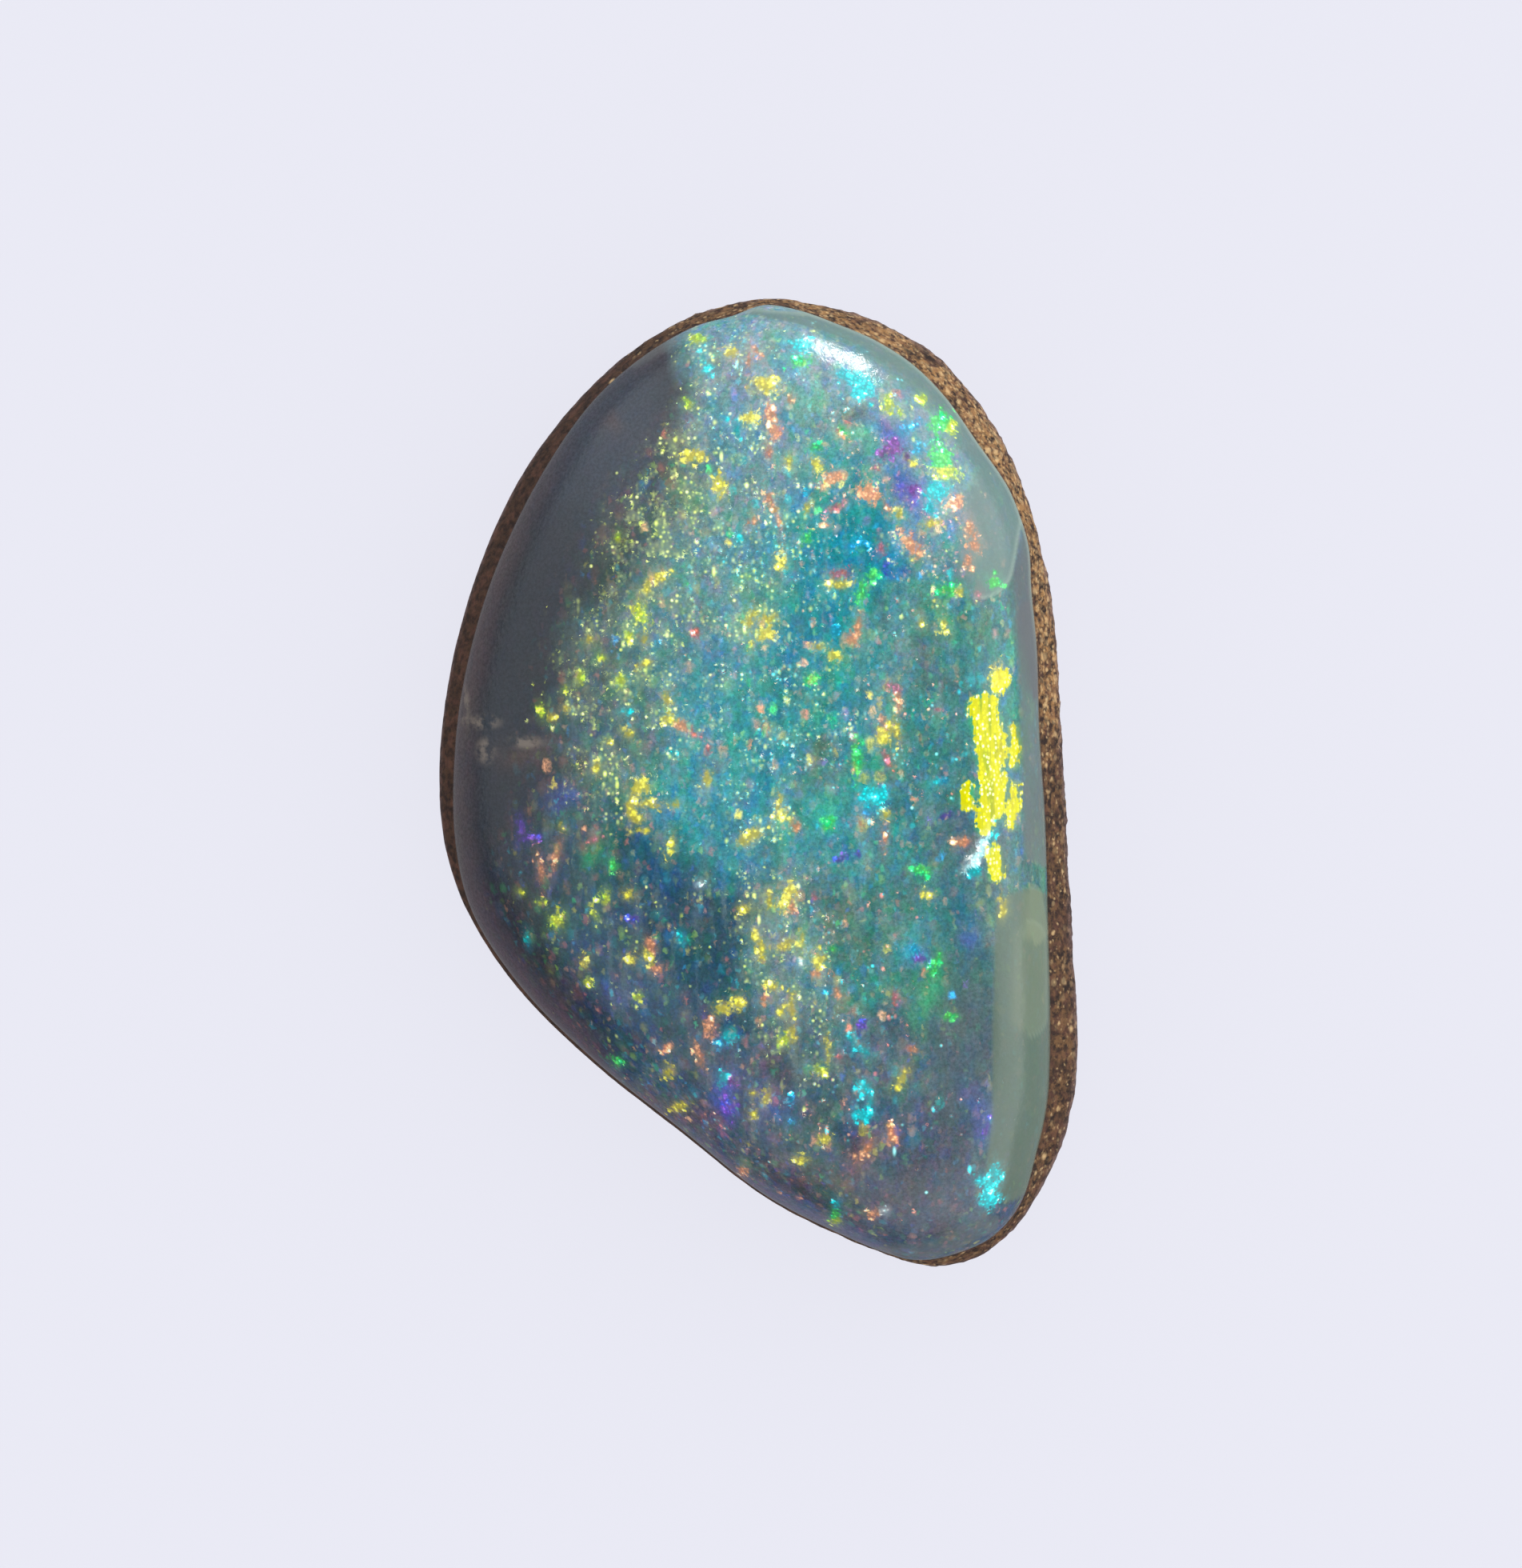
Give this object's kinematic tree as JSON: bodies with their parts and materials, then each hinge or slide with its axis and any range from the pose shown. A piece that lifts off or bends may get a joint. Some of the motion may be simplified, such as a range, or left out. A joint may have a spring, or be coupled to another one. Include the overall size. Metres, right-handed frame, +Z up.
{
  "type": "opal cabochon",
  "caption": "Freeform opal cabochon: a low polished dome of precious opal on its brown ironstone, with a flat back to set or rest it on.",
  "frame": {"origin": "centre of the stone's box, in the plane of the flat back that it rests on", "axes": "+Z up through the polished dome, +Y along the length to the broad round end, +X to the steep straight side"},
  "size_m": [0.012, 0.018, 0.0044],
  "materials": {
    "boulder_opal": "polished"
  },
  "bodies": {
    "root": {"opal_cabochon": "boulder_opal"}
  },
  "joints": []
}
